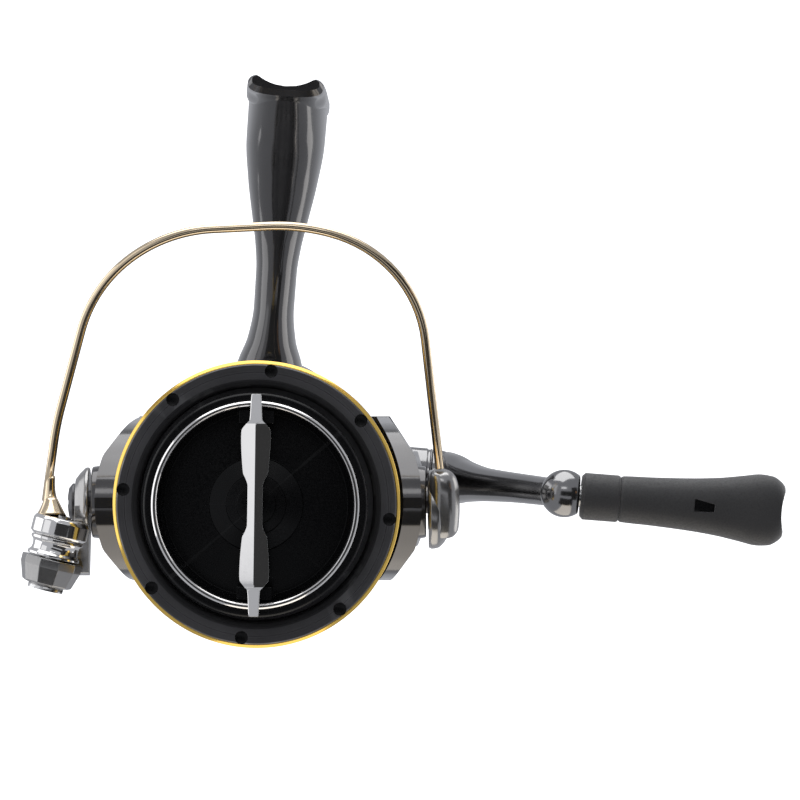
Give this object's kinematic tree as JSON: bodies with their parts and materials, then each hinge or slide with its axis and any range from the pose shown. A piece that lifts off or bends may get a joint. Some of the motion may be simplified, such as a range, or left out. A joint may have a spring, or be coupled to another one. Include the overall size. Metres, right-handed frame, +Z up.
{
  "type": "spinning reel",
  "caption": "Spinning fishing reel with a folding wire bail, a skirted spool under a front drag knob, a cranked handle with a flared grip, and a slim foot for a rod seat.",
  "frame": {"origin": "middle of the hollow rod seat on top of the foot", "axes": "+Z up out of the foot towards the rod, -Y along the rod towards its tip (the way the spool faces), +X to the handle side"},
  "size_m": [0.1366, 0.1284, 0.1033],
  "materials": {
    "black_gloss": "gloss",
    "gunmetal": "gloss",
    "dark_metal": "satin",
    "steel": "satin",
    "dark_steel": "satin",
    "bronze": "satin",
    "seal_rubber": "matte",
    "grip_rubber": "matte",
    "black_plastic": "satin",
    "white_plastic": "satin",
    "bail_chrome": "polished",
    "chrome": "polished",
    "gold": "polished anodised",
    "dark_anodised": "satin anodised",
    "felt": "matte"
  },
  "bodies": {
    "housing": {"frame_body": "black_gloss", "side_cover": "black_gloss", "tail_cover": "gunmetal", "cover_screws": "steel", "shaft_cap": "gunmetal", "drive_bearings": "steel", "pinion_bearing": "steel", "rear_bush": "bronze", "roller_clutch": "dark_steel", "clutch_rollers": "steel", "clutch_plate": "steel", "plate_screws": "steel", "worm_bushes": "bronze", "guide_rods": "steel"},
    "handle": {"drive_gear": "bronze", "handle_shank": "gunmetal", "shank_seal": "seal_rubber", "handle_arm": "gunmetal", "knob_post": "steel"},
    "knob": {"knob_grip": "grip_rubber", "knob_collar": "grip_rubber", "knob_bushes": "steel", "knob_inlay": "black_plastic"},
    "rotor": {"pinion": "bronze", "clutch_sleeve": "steel", "rotor": "black_gloss", "rotor_nut": "steel", "nut_lock": "steel", "arm_covers": "gunmetal", "bail_spring": "steel", "spring_guide": "steel", "trip_lever": "steel", "pivot_screws": "steel"},
    "bail": {"bail_wire": "bail_chrome", "wire_cone": "bail_chrome", "arm_lever": "dark_metal", "bail_holder": "gunmetal", "roller_screw": "steel"},
    "line_roller": {"line_roller": "chrome", "roller_bush": "bronze"},
    "shaft": {"main_shaft": "steel", "slider_block": "bronze", "slider_pawl": "steel", "spool_seat": "bronze", "drag_plates": "steel"},
    "spool": {"spool_body": "dark_anodised", "spool_lip": "gold", "front_ring": "dark_anodised", "line_clip": "steel", "drag_felts": "felt", "drag_snap_ring": "steel", "click_ring": "steel"},
    "drag_knob": {"drag_knob": "black_plastic", "knob_ring": "chrome", "knob_bar": "chrome", "knob_nut": "bronze", "knob_seal": "seal_rubber"},
    "worm": {"worm_shaft": "steel", "worm_gear": "white_plastic"}
  },
  "joints": [
    {"name": "rotor_turn", "type": "hinge", "parent": "housing", "child": "rotor", "pos_m": [0.0015, -0.006, -0.076], "axis": [0, 1, 0], "continuous": true},
    {"name": "handle_turn", "type": "hinge", "parent": "housing", "child": "handle", "pos_m": [0.0015, 0.014, -0.0696], "axis": [1, 0, 0], "continuous": true},
    {"name": "knob_turn", "type": "hinge", "parent": "handle", "child": "knob", "pos_m": [0.0615, -0.038, -0.0704], "axis": [1, 0, 0], "continuous": true},
    {"name": "bail_flip", "type": "hinge", "parent": "rotor", "child": "bail", "pos_m": [0.0015, -0.043, -0.076], "axis": [0.9969, 0, 0.0785], "range_deg": [0, 105]},
    {"name": "roller_turn", "type": "hinge", "parent": "bail", "child": "line_roller", "pos_m": [-0.03396, -0.053, -0.08682], "axis": [0.165, 0, 0.9863], "continuous": true},
    {"name": "shaft_stroke", "type": "slide", "parent": "housing", "child": "shaft", "axis": [0, 1, 0], "range_m": [-0.0085, 0.0085]},
    {"name": "spool_slip", "type": "hinge", "parent": "shaft", "child": "spool", "pos_m": [0.0015, -0.05, -0.076], "axis": [0, 1, 0], "continuous": true},
    {"name": "drag_turn", "type": "hinge", "parent": "shaft", "child": "drag_knob", "pos_m": [0.0015, -0.064, -0.076], "axis": [0, 1, 0], "range_deg": [-360, 720]},
    {"name": "worm_turn", "type": "hinge", "parent": "housing", "child": "worm", "pos_m": [0.0025, 0.024, -0.086], "axis": [0, 1, 0], "continuous": true}
  ],
  "couplings": [
    {"joint": "handle_turn", "follows": "rotor_turn", "ratio": -0.17308},
    {"joint": "worm_turn", "follows": "rotor_turn", "ratio": -0.81818}
  ]
}
